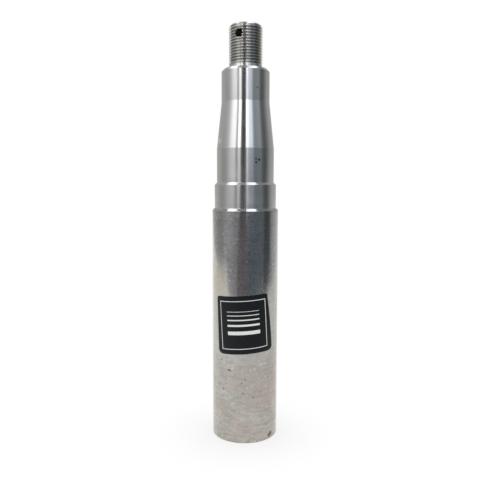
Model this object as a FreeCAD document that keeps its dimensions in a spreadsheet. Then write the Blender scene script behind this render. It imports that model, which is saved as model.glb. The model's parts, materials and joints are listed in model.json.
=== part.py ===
import FreeCAD, Part
import math
import os
import Sketcher

# Implement hub spindle: a round bar turned down in steps for a seal and two wheel bearings,
# and threaded at its end. It stands on its plain weld end, with the axis along Z and the
# origin at the centre of that end face. The cross hole runs along Y, and the film label
# is stuck on the shank, a little to the right of the hole's front mouth.

document = FreeCAD.newDocument("hub_spindle")

# Driving dimensions, in millimetres and degrees

sheet = document.addObject("Spreadsheet::Sheet", "sizes")

DRIVING_SIZES = [
    ("shank_diameter", 44.45),
    ("seal_journal_diameter", 41.275),
    ("inner_journal_diameter", 38.1),
    ("outer_journal_diameter", 31.75),
    ("thread_diameter", 22.225),
    ("threads_per_inch", 14.0),
    ("neck_relief", 0.31),
    ("shank_length", 156.8),
    ("seal_journal_length", 16.9),
    ("inner_journal_length", 22.1),
    ("taper_length", 30.3),
    ("outer_journal_length", 21.5),
    ("neck_length", 3.3),
    ("thread_length", 24.7),
    ("thread_runout_turns", 0.75),
    ("weld_end_chamfer", 0.6),
    ("outer_journal_chamfer", 1.8),
    ("thread_end_chamfer", 1.6),
    ("neck_fillet_radius", 0.8),
    ("cross_hole_diameter", 5.16),
    ("cross_hole_from_end", 6.8),
    ("centre_mouth_diameter", 6.0),
    ("centre_drill_diameter", 2.5),
    ("centre_drill_depth", 4.4),
    ("centre_cone_angle", 60.0),
    ("drill_point_angle", 118.0),
    ("label_thickness", 0.13),
    ("label_top_width", 37.4),
    ("label_top_shift", -2.95),
    ("label_bottom_width", 40.8),
    ("label_bottom_shift", 0.67),
    ("label_height", 38.7),
    ("label_rise", 2.5),
    ("label_side_radius", 400.0),
    ("label_above_weld_end", 61.5),
    ("label_turn_angle", 25.5),
    ("label_top_corner_radius", 1.6),
    ("label_bottom_corner_radius", 2.8),
]

for row, (alias, value) in enumerate(DRIVING_SIZES, start=1):
    sheet.set(f"A{row}", alias)
    sheet.set(f"B{row}", str(value))
    sheet.setAlias(f"B{row}", alias)
document.recompute()


def new_body(name):
    """Return an empty body whose object name and label are the node's name."""
    body = document.addObject("PartDesign::Body", name)
    body.Label = name
    return body


def origin_feature(body, role):
    """Return one of the body's own origin planes or axes."""
    return next(item for item in body.Origin.OriginFeatures if item.Role == role)


def new_sketch(body, name, plane_role):
    """Return an empty sketch that lies flat on one of the body's origin planes."""
    sketch = body.newObject("Sketcher::SketchObject", name)
    sketch.AttachmentSupport = [(origin_feature(body, plane_role), "")]
    sketch.MapMode = "FlatFace"
    return sketch


def bind_coordinate(sketch, kind, line, point, expression):
    """Dimension a line's end from the sketch origin and bind the dimension to the sheet."""
    value = sketch.evalExpression(expression)
    number = sketch.addConstraint(Sketcher.Constraint(kind, -1, 1, line, point, value))
    sketch.setExpression(f"Constraints[{number}]", expression)


def draw_outline(sketch, corners):
    """Draw a closed outline through corners given as pairs of sheet expressions.

    Neighbours that share an expression get a vertical or horizontal line instead
    of a second dimension.
    """
    points = [
        FreeCAD.Vector(sketch.evalExpression(across), sketch.evalExpression(up), 0)
        for across, up in corners
    ]
    count = len(points)
    for index in range(count):
        sketch.addGeometry(Part.LineSegment(points[index], points[(index + 1) % count]))
    for index in range(count):
        sketch.addConstraint(Sketcher.Constraint("Coincident", index, 2, (index + 1) % count, 1))
    for index, (across, up) in enumerate(corners):
        last_across, last_up = corners[index - 1]
        if index > 0 and across == last_across:
            sketch.addConstraint(Sketcher.Constraint("Vertical", index - 1))
        elif across == "0":
            sketch.addConstraint(Sketcher.Constraint("PointOnObject", index, 1, -2))
        else:
            bind_coordinate(sketch, "DistanceX", index, 1, across)
        if index > 0 and up == last_up:
            sketch.addConstraint(Sketcher.Constraint("Horizontal", index - 1))
        elif up == "0":
            sketch.addConstraint(Sketcher.Constraint("PointOnObject", index, 1, -1))
        else:
            bind_coordinate(sketch, "DistanceY", index, 1, up)


def edges_where(shape, test):
    """Return the names of the edges that pass the test."""
    return [f"Edge{number}" for number, edge in enumerate(shape.Edges, start=1) if test(edge)]


def size(alias):
    """Return a driving dimension as a number."""
    return float(sheet.get(alias))


# How closely a found edge has to match the place it is looked for
MATCH_TOLERANCE = 0.001

# Stations along the axis, each worked out from the one below it

SEAL_START = "sizes.shank_length"
INNER_START = f"{SEAL_START} + sizes.seal_journal_length"
TAPER_START = f"{INNER_START} + sizes.inner_journal_length"
OUTER_START = f"{TAPER_START} + sizes.taper_length"
NECK_START = f"{OUTER_START} + sizes.outer_journal_length"
THREAD_START = f"{NECK_START} + sizes.neck_length"
THREAD_END = f"{THREAD_START} + sizes.thread_length"

SHANK_RADIUS = "sizes.shank_diameter / 2"
SEAL_RADIUS = "sizes.seal_journal_diameter / 2"
INNER_RADIUS = "sizes.inner_journal_diameter / 2"
OUTER_RADIUS = "sizes.outer_journal_diameter / 2"
THREAD_RADIUS = "sizes.thread_diameter / 2"
NECK_RADIUS = f"({THREAD_RADIUS} - sizes.neck_relief)"

# Unified thread form: flanks at 60 degrees, and the sharp form cut off at crest and root
THREAD_PITCH = "(25.4 / sizes.threads_per_inch)"
SHARP_FORM_HEIGHT = f"({THREAD_PITCH} * sqrt(3) / 2)"
THREAD_DEPTH = f"({SHARP_FORM_HEIGHT} * 17 / 24)"
ROOT_HALF_WIDTH = f"{THREAD_PITCH} / 12"
MOUTH_HALF_WIDTH = f"{THREAD_PITCH} * 7 / 16"


def cut_helix(body, name, groove, height):
    """Cut the groove's section along a right-handed helix of the thread's pitch."""
    helix = body.newObject("PartDesign::SubtractiveHelix", name)
    helix.Profile = groove
    helix.ReferenceAxis = (groove, ["V_Axis"])
    helix.Mode = "pitch-height-angle"
    helix.setExpression("Pitch", THREAD_PITCH)
    helix.setExpression("Height", height)
    return helix


def cut_thread(body):
    """Cut the thread from the neck to past the end, then let its groove run out."""
    groove = new_sketch(body, "thread_groove", "XZ_Plane")
    root_radius = f"{THREAD_RADIUS} - {THREAD_DEPTH}"
    clear_radius = f"{THREAD_RADIUS} + {THREAD_DEPTH} / 6"
    middle = f"({THREAD_START})"
    draw_outline(groove, [
        (root_radius, f"{middle} - {ROOT_HALF_WIDTH}"),
        (THREAD_RADIUS, f"{middle} - {MOUTH_HALF_WIDTH}"),
        (clear_radius, f"{middle} - {MOUTH_HALF_WIDTH}"),
        (clear_radius, f"{middle} + {MOUTH_HALF_WIDTH}"),
        (THREAD_RADIUS, f"{middle} + {MOUTH_HALF_WIDTH}"),
        (root_radius, f"{middle} + {ROOT_HALF_WIDTH}"),
    ])
    thread = cut_helix(body, "thread", groove, f"sizes.thread_length + {THREAD_PITCH}")
    thread.Angle = 0
    document.recompute()

    # Below its start the groove climbs out of the metal along a cone
    runout_height = f"{THREAD_PITCH} * sizes.thread_runout_turns"
    runout = cut_helix(body, "thread_runout", groove, runout_height)
    runout.setExpression("Angle", f"atan({THREAD_DEPTH} / ({runout_height}))")
    runout.Reversed = True
    document.recompute()


def make_spindle():
    """Turn the stepped bar, cut its thread, then drill the cross hole and lathe centre."""
    body = new_body("spindle")

    # Each step up to a smaller journal is a 45 degree cone, as high as the step is wide
    profile = new_sketch(body, "turned_profile", "XZ_Plane")
    draw_outline(profile, [
        ("0", "0"),
        (f"{SHANK_RADIUS} - sizes.weld_end_chamfer", "0"),
        (SHANK_RADIUS, "sizes.weld_end_chamfer"),
        (SHANK_RADIUS, f"{SEAL_START} - ({SHANK_RADIUS} - {SEAL_RADIUS})"),
        (SEAL_RADIUS, SEAL_START),
        (SEAL_RADIUS, f"{INNER_START} - ({SEAL_RADIUS} - {INNER_RADIUS})"),
        (INNER_RADIUS, INNER_START),
        (INNER_RADIUS, TAPER_START),
        (OUTER_RADIUS, OUTER_START),
        (OUTER_RADIUS, f"{NECK_START} - sizes.outer_journal_chamfer"),
        (f"{OUTER_RADIUS} - sizes.outer_journal_chamfer", NECK_START),
        (NECK_RADIUS, NECK_START),
        (NECK_RADIUS, THREAD_START),
        (THREAD_RADIUS, f"{THREAD_START} + ({THREAD_RADIUS} - {NECK_RADIUS})"),
        (THREAD_RADIUS, f"{THREAD_END} - sizes.thread_end_chamfer"),
        (f"{THREAD_RADIUS} - sizes.thread_end_chamfer", THREAD_END),
        ("0", THREAD_END),
    ])
    turning = body.newObject("PartDesign::Revolution", "turning")
    turning.Profile = profile
    turning.ReferenceAxis = (profile, ["V_Axis"])
    turning.Angle = 360
    document.recompute()

    # The shoulder of the outer journal meets the neck in a small fillet
    shoulder_height = profile.evalExpression(NECK_START)
    neck_edges = edges_where(
        turning.Shape,
        lambda edge: isinstance(edge.Curve, Part.Circle)
        and abs(edge.Curve.Center.z - shoulder_height) < MATCH_TOLERANCE
        and abs(edge.Curve.Radius - profile.evalExpression(NECK_RADIUS)) < MATCH_TOLERANCE,
    )
    neck_fillet = body.newObject("PartDesign::Fillet", "neck_fillet")
    neck_fillet.Base = (turning, neck_edges)
    neck_fillet.setExpression("Radius", "sizes.neck_fillet_radius")
    document.recompute()

    cut_thread(body)

    # The cross hole goes right through the threaded end
    hole_sketch = new_sketch(body, "cross_hole_circle", "XZ_Plane")
    hole_height = f"{THREAD_END} - sizes.cross_hole_from_end"
    hole_centre = FreeCAD.Vector(0, hole_sketch.evalExpression(hole_height), 0)
    hole_sketch.addGeometry(
        Part.Circle(hole_centre, FreeCAD.Vector(0, 0, 1), size("cross_hole_diameter") / 2)
    )
    hole_sketch.addConstraint(Sketcher.Constraint("PointOnObject", 0, 3, -2))
    bind_coordinate(hole_sketch, "DistanceY", 0, 3, hole_height)
    diameter = hole_sketch.addConstraint(
        Sketcher.Constraint("Diameter", 0, size("cross_hole_diameter"))
    )
    hole_sketch.setExpression(f"Constraints[{diameter}]", "sizes.cross_hole_diameter")
    cross_hole = body.newObject("PartDesign::Pocket", "cross_hole")
    cross_hole.Profile = hole_sketch
    cross_hole.Type = "ThroughAll"
    cross_hole.SideType = "Symmetric"
    document.recompute()

    # The lathe's running centre left its drilled cone in the threaded end
    centre_sketch = new_sketch(body, "centre_profile", "XZ_Plane")
    mouth_radius = "sizes.centre_mouth_diameter / 2"
    drill_radius = "sizes.centre_drill_diameter / 2"
    cone_depth = f"({mouth_radius} - {drill_radius}) / tan(sizes.centre_cone_angle / 2 * 1 deg)"
    point_depth = f"{drill_radius} / tan(sizes.drill_point_angle / 2 * 1 deg)"
    draw_outline(centre_sketch, [
        ("0", THREAD_END),
        (mouth_radius, THREAD_END),
        (drill_radius, f"{THREAD_END} - {cone_depth}"),
        (drill_radius, f"{THREAD_END} - sizes.centre_drill_depth"),
        ("0", f"{THREAD_END} - sizes.centre_drill_depth - {point_depth}"),
    ])
    centre_hole = body.newObject("PartDesign::Groove", "centre_hole")
    centre_hole.Profile = centre_sketch
    centre_hole.ReferenceAxis = (centre_sketch, ["V_Axis"])
    centre_hole.Angle = 360
    document.recompute()
    return body


def around_shank(arc):
    """Return the expression for how far across an arc length round the shank reaches."""
    return f"{SHANK_RADIUS} * sin(({arc}) / ({SHANK_RADIUS}) * 1 rad)"


def draw_label_outline(sketch):
    """Draw the label as seen from the front, with its widths measured round the shank.

    Three sides are straight, and the right one is bowed outwards a little.
    """
    corners = [
        (around_shank("sizes.label_bottom_shift - sizes.label_bottom_width / 2"),
         "-sizes.label_rise / 2"),
        (around_shank("sizes.label_bottom_shift + sizes.label_bottom_width / 2"),
         "sizes.label_rise / 2"),
        (around_shank("sizes.label_top_shift + sizes.label_top_width / 2"),
         "sizes.label_height + sizes.label_rise / 2"),
        (around_shank("sizes.label_top_shift - sizes.label_top_width / 2"),
         "sizes.label_height - sizes.label_rise / 2"),
    ]
    points = [
        FreeCAD.Vector(sketch.evalExpression(across), sketch.evalExpression(up), 0)
        for across, up in corners
    ]
    bottom_left, bottom_right, top_right, top_left = points
    chord = bottom_right.distanceToPoint(top_right)
    radius = size("label_side_radius")
    bulge = radius - math.sqrt(radius ** 2 - (chord / 2) ** 2)
    side_middle = (bottom_right + top_right) / 2 + FreeCAD.Vector(bulge, 0, 0)
    sketch.addGeometry(Part.LineSegment(bottom_left, bottom_right))
    sketch.addGeometry(Part.Arc(bottom_right, side_middle, top_right))
    sketch.addGeometry(Part.LineSegment(top_right, top_left))
    sketch.addGeometry(Part.LineSegment(top_left, bottom_left))
    for side in range(4):
        sketch.addConstraint(Sketcher.Constraint("Coincident", side, 2, (side + 1) % 4, 1))
    for side, (across, up) in enumerate(corners):
        bind_coordinate(sketch, "DistanceX", side, 1, across)
        bind_coordinate(sketch, "DistanceY", side, 1, up)
    number = sketch.addConstraint(Sketcher.Constraint("Radius", 1, radius))
    sketch.setExpression(f"Constraints[{number}]", "sizes.label_side_radius")


def round_corners(body, name, base, corners, radius_expression):
    """Round the block's corners that stand at the given heights."""
    corner_edges = edges_where(
        base.Shape,
        lambda edge: abs(edge.tangentAt(edge.FirstParameter).y) > 0.999
        and any(abs(edge.Vertexes[0].Z - height) < MATCH_TOLERANCE for height in corners),
    )
    rounding = body.newObject("PartDesign::Fillet", name)
    rounding.Base = (base, corner_edges)
    rounding.setExpression("Radius", radius_expression)
    document.recompute()
    return rounding


def make_label():
    """Cut the film label's outline out of a thin shell that lies on the shank."""
    body = new_body("label")
    outline = new_sketch(body, "label_outline", "XZ_Plane")
    draw_label_outline(outline)
    block = body.newObject("PartDesign::Pad", "label_block")
    block.Profile = outline
    block.setExpression("Length", "sizes.shank_diameter")
    document.recompute()

    half_rise = size("label_rise") / 2
    height = size("label_height")
    top_rounding = round_corners(
        body, "top_corners", block, [height - half_rise, height + half_rise],
        "sizes.label_top_corner_radius",
    )
    round_corners(
        body, "bottom_corners", top_rounding, [-half_rise, half_rise],
        "sizes.label_bottom_corner_radius",
    )

    # Everything inside the shank's surface and outside the film's is cut away
    rings = new_sketch(body, "film_rings", "XY_Plane")
    film_radii = [
        SHANK_RADIUS,
        f"{SHANK_RADIUS} + sizes.label_thickness",
        "sizes.shank_diameter + sizes.label_bottom_width",
    ]
    for number, expression in enumerate(film_radii):
        radius = rings.evalExpression(expression)
        rings.addGeometry(
            Part.Circle(FreeCAD.Vector(0, 0, 0), FreeCAD.Vector(0, 0, 1), radius)
        )
        rings.addConstraint(Sketcher.Constraint("Coincident", number, 3, -1, 1))
        constraint = rings.addConstraint(Sketcher.Constraint("Radius", number, radius))
        rings.setExpression(f"Constraints[{constraint}]", expression)
    film = body.newObject("PartDesign::Pocket", "film")
    film.Profile = rings
    film.Type = "ThroughAll"
    film.SideType = "Symmetric"
    body.setExpression("Placement.Base.z", "sizes.label_above_weld_end")
    body.setExpression("Placement.Rotation.Angle", "sizes.label_turn_angle")
    document.recompute()
    return body


def check_document():
    """Stop with a message if any object failed to build."""
    for item in document.Objects:
        if "Invalid" in item.State or "Error" in item.State:
            raise RuntimeError(f"{item.Name} failed: {item.State}")


def write_pieces(pieces):
    """Write each piece's single solid to its own STEP file."""
    os.makedirs("parts", exist_ok=True)
    for piece in pieces:
        shape = piece.Shape
        if shape.isNull() or not shape.isValid() or len(shape.Solids) != 1:
            raise RuntimeError(f"{piece.Label} isn't one valid solid")
        shape.exportStep(f"parts/{piece.Label}.step")
        box = shape.BoundBox
        print(
            f"{piece.Label}: {shape.Volume:.1f} mm3, "
            f"{box.XLength:.3f} x {box.YLength:.3f} x {box.ZLength:.3f} mm"
        )


pieces = [make_spindle(), make_label()]
document.recompute()
check_document()
write_pieces(pieces)
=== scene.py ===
# %% [markdown]
# # A hub spindle in turned steel
#
# The object is the axle stub that a farm implement's wheel hub runs on: one steel bar, turned
# down in steps for a seal and two bearings, with a thread at its end and a film label stuck on
# its shank. This lesson makes two pieces and then their finishes:
#
# 1. the bar, turned ring by ring, with a real thread cut into its end,
# 2. the label, trimmed out of a curved wall,
# 3. four procedural steels, for the journals, the shank, the threaded end and its holes,
# 4. the label's black film and its print.
#
# A camera and a room to be mirrored come with them, because bare steel shows little else.
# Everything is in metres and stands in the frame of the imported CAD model, which is loaded first.

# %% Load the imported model
import json
import math

import bmesh
import bpy
from mathutils import Euler, Matrix, Vector


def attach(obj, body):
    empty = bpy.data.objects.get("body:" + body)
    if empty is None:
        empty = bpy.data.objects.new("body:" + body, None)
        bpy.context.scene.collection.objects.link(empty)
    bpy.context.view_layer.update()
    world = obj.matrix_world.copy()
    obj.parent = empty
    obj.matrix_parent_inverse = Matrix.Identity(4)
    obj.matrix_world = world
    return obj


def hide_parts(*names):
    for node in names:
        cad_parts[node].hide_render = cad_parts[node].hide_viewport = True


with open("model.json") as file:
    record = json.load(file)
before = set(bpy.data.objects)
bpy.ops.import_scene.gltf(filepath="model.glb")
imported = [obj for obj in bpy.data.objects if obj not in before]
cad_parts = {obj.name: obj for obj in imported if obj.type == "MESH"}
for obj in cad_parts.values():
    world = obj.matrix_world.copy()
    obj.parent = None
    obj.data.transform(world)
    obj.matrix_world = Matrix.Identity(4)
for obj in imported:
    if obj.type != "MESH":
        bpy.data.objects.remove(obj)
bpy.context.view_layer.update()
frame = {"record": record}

# %% [markdown]
# ## Sizes from the frame
#
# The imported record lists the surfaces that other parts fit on, such as a seal or a bearing. Each
# has a radius, a length and a middle, so nearly every step of the bar can be read from there. The
# ends of each surface are its stations. If the bar changes, this script follows.

# %% Read the turned steps
MM = 0.001


def find_mount(name):
    """Return the record's entry for one fitting surface."""
    return next(item for item in frame["record"]["mounts"] if item["name"] == name)


def read_step(name):
    """Return a turned surface's radius and the heights where it starts and ends."""
    mount = find_mount(name)
    half_length = mount["dims"]["length_mm"] * MM / 2
    middle = mount["pos_m"][2]
    return mount["dims"]["r_mm"] * MM, middle - half_length, middle + half_length


shank_radius, shank_start, shank_end = read_step("shank")
seal_radius, seal_start, seal_end = read_step("seal_journal")
inner_radius, inner_start, inner_end = read_step("inner_bearing_journal")
outer_radius, outer_start, outer_end = read_step("outer_bearing_journal")
thread_radius, thread_start, thread_end = read_step("threaded_end")
cross_hole = find_mount("cross_hole")
cross_hole_radius = cross_hole["dims"]["r_mm"] * MM
cross_hole_height = cross_hole["pos_m"][2]
print(f"shank {shank_radius / MM:.3f} mm in radius, whole bar {thread_end / MM:.1f} mm long")

# %% [markdown]
# ## Small helpers for modelling
#
# Blender's mesh operators act on whatever is selected, as they do under the mouse. So a clean
# start with nothing selected, a way to select by place and a way to apply a modifier are needed
# again and again. They are written once here.

# %% Selection and modifier helpers
MERGE_DISTANCE = 0.001 * MM


def start_clean():
    """Leave edit mode and deselect everything."""
    if bpy.context.object and bpy.context.object.mode != "OBJECT":
        bpy.ops.object.mode_set(mode="OBJECT")
    bpy.ops.object.select_all(action="DESELECT")


def name_new(name):
    """Give the object that an operator has just added its name, and return it."""
    piece = bpy.context.object
    piece.name = name
    piece.data.name = name
    return piece


def pick(piece):
    """Select one piece alone, in object mode."""
    start_clean()
    bpy.context.view_layer.objects.active = piece
    piece.select_set(True)


def edit(piece):
    """Open one piece in edit mode."""
    pick(piece)
    bpy.ops.object.mode_set(mode="EDIT")


def select_where(piece, kind, test):
    """Select the vertices, edges or faces that pass the test, and nothing else."""
    bpy.ops.mesh.select_mode(type=kind)
    bpy.ops.mesh.select_all(action="DESELECT")
    mesh = bmesh.from_edit_mesh(piece.data)
    parts = {"VERT": mesh.verts, "EDGE": mesh.edges, "FACE": mesh.faces}[kind]
    count = 0
    for part in parts:
        if test(part):
            part.select_set(True)
            count += 1
    bmesh.update_edit_mesh(piece.data)
    return count


def heal():
    """Merge the doubled vertices of the open mesh, and turn its faces outwards."""
    bpy.ops.mesh.select_all(action="SELECT")
    bpy.ops.mesh.remove_doubles(threshold=MERGE_DISTANCE)
    bpy.ops.mesh.normals_make_consistent(inside=False)


def apply_modifier(piece, kind, **settings):
    """Add a modifier to a piece, set it and apply it."""
    pick(piece)
    modifier = piece.modifiers.new(kind.title(), kind)
    for setting, value in settings.items():
        setattr(modifier, setting, value)
    bpy.ops.object.modifier_apply(modifier=modifier.name)


def cut_away(piece, cutter):
    """Subtract one solid from another, and throw the cutter away."""
    apply_modifier(piece, "BOOLEAN", operation="DIFFERENCE", solver="EXACT", object=cutter)
    bpy.data.objects.remove(cutter)
    print(f"{piece.name} has {len(piece.data.polygons)} faces after the cut")


# %% [markdown]
# ## Turn the bar
#
# On a lathe the bar spins while a tool takes it down to size, step by step. The same can be done
# with a ring of vertices: start from a filled circle, the sawn end, and extrude it upwards once
# for each station, scaling the new ring to the next radius. Spinning a drawn outline would give
# the same mesh, but with rings each station keeps its own name and height.
#
# Between two journals the real bar has a 45 degree cone, as high as the step is wide. The end is
# chamfered to lead the thread in, and holds the drilled cone that the lathe's centre ran in.

# %% The stations of the bar
RING_VERTICES = 256
FILLET_STEPS = 6

shoulder_chamfer = 1.8 * MM
neck_relief = 0.31 * MM
neck_fillet = 0.8 * MM
end_chamfer = 1.6 * MM
centre_mouth = 3.0 * MM
centre_drill = 1.25 * MM
centre_depth = 4.4 * MM
centre_cone_angle = math.radians(60)
drill_point_angle = math.radians(118)

weld_chamfer = shank_start
shoulder = outer_end + shoulder_chamfer
neck_radius = thread_radius - neck_relief
centre_cone = (centre_mouth - centre_drill) / math.tan(centre_cone_angle / 2)
drill_point = centre_drill / math.tan(drill_point_angle / 2)

body_stations = [
    (shank_radius - weld_chamfer, 0),
    (shank_radius, shank_start),
    (shank_radius, shank_end),
    (seal_radius, seal_start),
    (seal_radius, seal_end),
    (inner_radius, inner_start),
    (inner_radius, inner_end),
    (outer_radius, outer_start),
    (outer_radius, outer_end),
    (outer_radius - shoulder_chamfer, shoulder),
]
fillet_angles = [math.radians(90) * part / FILLET_STEPS for part in range(FILLET_STEPS + 1)]
fillet_stations = [
    (neck_radius + neck_fillet * (1 - math.sin(angle)),
     shoulder + neck_fillet * (1 - math.cos(angle)))
    for angle in fillet_angles
]
end_stations = [
    (neck_radius, thread_start),
    (thread_radius, thread_start + neck_relief),
    (thread_radius, thread_end - end_chamfer),
    (thread_radius - end_chamfer, thread_end),
    (centre_mouth, thread_end),
    (centre_drill, thread_end - centre_cone),
    (centre_drill, thread_end - centre_depth),
]
stations = body_stations + fillet_stations + end_stations
print(len(stations), "stations from the weld end to the bottom of the drilled centre")

# %% Extrude the bar from station to station


def turn_bar():
    """Extrude a filled circle through all the stations, and close the drilled hole."""
    start_clean()
    radius, height = stations[0]
    bpy.ops.mesh.primitive_circle_add(
        vertices=RING_VERTICES, radius=radius, fill_type="NGON", location=(0, 0, height)
    )
    bar = name_new("turned_spindle")
    bpy.ops.object.mode_set(mode="EDIT")
    for next_radius, next_height in stations[1:]:
        rise = next_height - height
        bpy.ops.mesh.extrude_region_move(TRANSFORM_OT_translate={"value": (0, 0, rise)})
        scale = next_radius / radius
        bpy.ops.transform.resize(value=(scale, scale, 1), center_override=(0, 0, next_height))
        radius, height = next_radius, next_height
    bpy.ops.mesh.extrude_region_move(TRANSFORM_OT_translate={"value": (0, 0, -drill_point)})
    bpy.ops.mesh.merge(type="CENTER")
    heal()
    return bar


spindle = turn_bar()
print(f"the bar is turned, with {RING_VERTICES} vertices in each ring")

# %% [markdown]
# ## Break the edges
#
# No turned edge is a true corner: the tool or a file leaves it a few tenths wide, and that narrow
# band is what catches the light. The ring edges at each corner are selected by height and
# bevelled. The two ends of the taper meet the journals at only six degrees, so they stay crisp.

# %% Bevel the turned corners
EDGE_BREAK = 0.16 * MM
FINE_EDGE_BREAK = 0.08 * MM
HEIGHT_MATCH = 0.01 * MM
RADIUS_MATCH = 0.02 * MM

taper_ends = [(inner_radius, inner_end), (outer_radius, outer_start)]
body_corners = [station for station in body_stations if station not in taper_ends]
end_corners = [
    (thread_radius, thread_end - end_chamfer),
    (thread_radius - end_chamfer, thread_end),
    (centre_mouth, thread_end),
]


def lies_on_ring(edge, rings):
    """Say whether an edge runs round the bar at one of the given stations."""
    first, last = (vertex.co for vertex in edge.verts)
    return any(
        abs(first.z - height) < HEIGHT_MATCH
        and abs(last.z - height) < HEIGHT_MATCH
        and abs(first.xy.length - radius) < RADIUS_MATCH
        for radius, height in rings
    )


def break_edges(bar, rings, width):
    """Round the corners of the bar at the given stations."""
    count = select_where(bar, "EDGE", lambda edge: lies_on_ring(edge, rings))
    bpy.ops.mesh.bevel(offset=width, segments=3, affect="EDGES", clamp_overlap=True)
    print(f"{count // RING_VERTICES} corners broken by {width / MM:.2f} mm")


break_edges(spindle, body_corners, EDGE_BREAK)
break_edges(spindle, end_corners, FINE_EDGE_BREAK)
start_clean()

# %% [markdown]
# ## Cut the thread
#
# The end carries a fine unified thread, 14 turns to the inch. A thread is a groove that climbs
# one pitch in each turn, so the groove's section is drawn once, with flanks at 60 degrees, and a
# Screw modifier sweeps it round the axis. Below the first full turn the groove climbs out of the
# metal: its last face is extruded on, a few degrees and a little outwards at a time. The sweep is
# then subtracted from the bar, which leaves the crests on the turned surface.
#
# The unified form is a row of sharp triangles with their tips cut off: an eighth of a pitch stays
# flat at each crest, and the groove is 17/24 as deep as the sharp triangle would be. A texture
# could fake the ridges, but a thread's outline shows, and the cross hole has to cut through it.

# %% The groove's section
INCH = 25.4 * MM
THREADS_PER_INCH = 14
STEPS_PER_TURN = 128
RUNOUT_TURNS = 0.75

pitch = INCH / THREADS_PER_INCH
sharp_height = pitch * math.sqrt(3) / 2
thread_depth = sharp_height * 17 / 24
crest_flat = pitch / 8
mouth_half = (pitch - crest_flat) / 2
root_half = pitch / 12
root_radius = thread_radius - thread_depth
clear_radius = thread_radius + thread_depth / 6

groove_corners = [
    (root_radius, -root_half),
    (thread_radius, -mouth_half),
    (clear_radius, -mouth_half),
    (clear_radius, mouth_half),
    (thread_radius, mouth_half),
    (root_radius, root_half),
]


def draw_groove():
    """Move the corners of a six-sided ring to the corners of the groove's section."""
    start_clean()
    bpy.ops.mesh.primitive_circle_add(vertices=6, radius=pitch, location=(0, 0, 0))
    groove = name_new("thread_groove")
    bpy.ops.object.mode_set(mode="EDIT")
    for index, (across, up) in enumerate(groove_corners):
        select_where(groove, "VERT", lambda vertex: vertex.index == index)
        here = bmesh.from_edit_mesh(groove.data).verts[:][index].co
        there = Vector((across, 0, thread_start + up))
        bpy.ops.transform.translate(value=there - here)
    start_clean()
    return groove


# %% Sweep the groove and let it run out


def sweep_groove(groove):
    """Screw the section up past the bar's end, and close both ends of the sweep."""
    turns = math.ceil((thread_end - thread_start) / pitch) + 1
    apply_modifier(
        groove, "SCREW", angle=math.radians(360), screw_offset=pitch, iterations=turns,
        steps=STEPS_PER_TURN, render_steps=STEPS_PER_TURN, use_merge_vertices=False,
    )
    edit(groove)
    bpy.ops.mesh.select_all(action="SELECT")
    bpy.ops.mesh.remove_doubles(threshold=MERGE_DISTANCE)
    select_where(groove, "EDGE", lambda part: part.is_boundary)
    bpy.ops.mesh.fill_holes(sides=0)
    print(f"the groove makes {turns} turns of {pitch / MM:.3f} mm")


def run_out(groove):
    """Extrude the sweep's lower end down and outwards, until it has left the metal."""
    steps = round(STEPS_PER_TURN * RUNOUT_TURNS)
    turn = math.radians(360) / STEPS_PER_TURN
    outwards = thread_depth / steps
    select_where(
        groove, "FACE",
        lambda face: len(face.verts) == 6 and face.calc_center_median().z < thread_start + pitch,
    )
    for part in range(1, steps + 1):
        angle = -turn * part
        bpy.ops.mesh.extrude_region_move(
            TRANSFORM_OT_translate={"value": (0, 0, -pitch / STEPS_PER_TURN)}
        )
        bpy.ops.transform.rotate(value=turn, orient_axis="Z", center_override=(0, 0, 0))
        bpy.ops.transform.translate(
            value=(outwards * math.cos(angle), outwards * math.sin(angle), 0)
        )
    bpy.ops.mesh.select_all(action="SELECT")
    bpy.ops.mesh.normals_make_consistent(inside=False)
    start_clean()


groove = draw_groove()
sweep_groove(groove)
run_out(groove)
cut_away(spindle, groove)

# %% [markdown]
# ## Drill the cross hole
#
# A hole goes right across the threaded end, to lock what is screwed onto it. It is drilled after
# threading, so its mouths cut through the ridges. A cylinder that lies along Y is the drill.

# %% Drill through the threaded end
DRILL_VERTICES = 96

start_clean()
bpy.ops.mesh.primitive_cylinder_add(
    vertices=DRILL_VERTICES, radius=cross_hole_radius, depth=4 * thread_radius,
    location=(0, 0, cross_hole_height), rotation=(math.radians(90), 0, 0),
)
drill = name_new("cross_drill")
cut_away(spindle, drill)

# %% [markdown]
# ## Shade the bar
#
# The bar should look round along its faces and crisp at its edges. Shading by angle smooths the
# many narrow faces of each ring and keeps the flanks of the thread sharp. The taper's ends turn by
# only six degrees, so they are marked by hand. Weighted normals keep each large face true right up
# to the bevels, where the bright metal would show soft smears.

# %% Smooth faces, sharp corners, weighted normals
SMOOTH_ANGLE = math.radians(28)


def shade(piece, sharp_rings=()):
    """Smooth a piece's shallow corners, mark rings as sharp and weight its normals."""
    pick(piece)
    bpy.ops.object.shade_smooth_by_angle(angle=SMOOTH_ANGLE)
    if sharp_rings:
        edit(piece)
        select_where(piece, "EDGE", lambda edge: lies_on_ring(edge, sharp_rings))
        bpy.ops.mesh.mark_sharp()
    apply_modifier(piece, "WEIGHTED_NORMAL", keep_sharp=True)


shade(spindle, taper_ends)
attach(spindle, "root")
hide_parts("spindle")
print(f"the bar has {len(spindle.data.polygons)} faces")

# %% [markdown]
# ## The label
#
# A printed film sticks on the front of the shank. It was put on by hand, so it sits a little
# askew, wider at its foot, with rounded corners. A flat sheet could be wrapped with a modifier,
# but it is quicker to start from the shape it takes: an open cylinder, just larger than the
# shank, from which everything outside the label's outline is cut away with planes. Each plane
# runs straight back, so a corner is rounded by a fan of short cuts.
#
# The outline is drawn as the label is seen from its front. Widths are measured round the shank,
# to the left and the right of the line that faces the viewer.

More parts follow.
